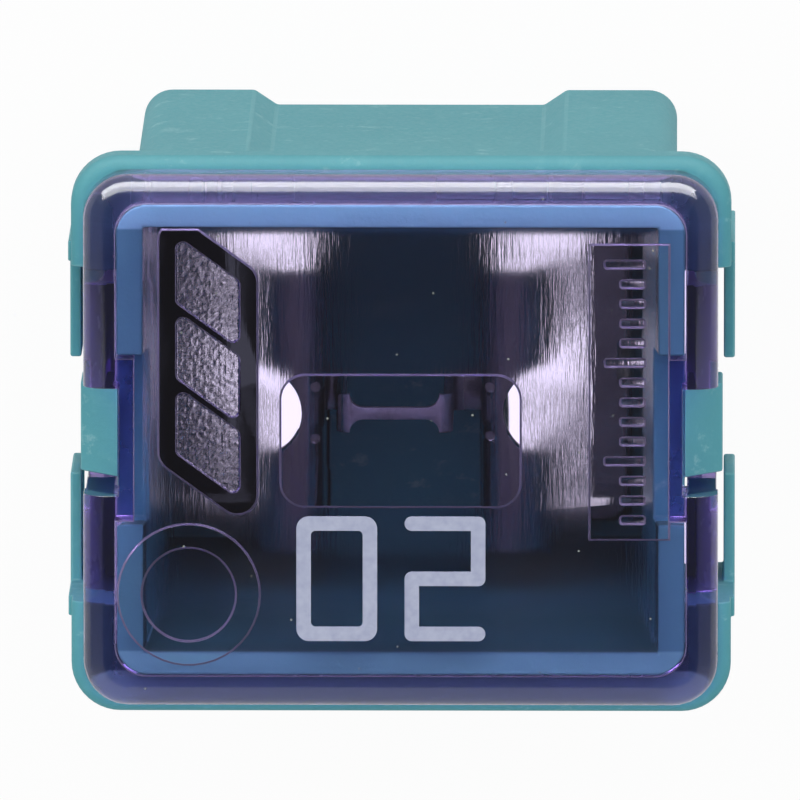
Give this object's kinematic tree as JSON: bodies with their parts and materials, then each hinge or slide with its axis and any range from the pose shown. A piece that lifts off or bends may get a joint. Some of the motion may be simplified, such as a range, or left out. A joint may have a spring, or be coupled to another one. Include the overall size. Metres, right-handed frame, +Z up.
{
  "type": "j-case fuse",
  "caption": "Low-profile cartridge fuse: moulded body with female blade sockets below, clip-on see-through lid and a folded fuse element.",
  "frame": {"origin": "centre of the flat face that the sockets open in, which the fuse stands on", "axes": "+Z up from the socket mouths to the lid; +X along the long side, from one socket to the other; +Y across, away from the numerals on the lid"},
  "size_m": [0.0148, 0.0124, 0.0215],
  "materials": {
    "housing_plastic": "moulded satin, opaque teal",
    "lid_plastic": "moulded clear thermoplastic, tinted violet-blue, polished",
    "tinned_metal": "copper alloy strip, dull tin plate",
    "stamp_foil": "pale grey hot-stamping foil on the lid's numerals"
  },
  "bodies": {
    "root": {"housing": "housing_plastic", "lid": "lid_plastic", "fuse_element": "tinned_metal"}
  },
  "joints": []
}
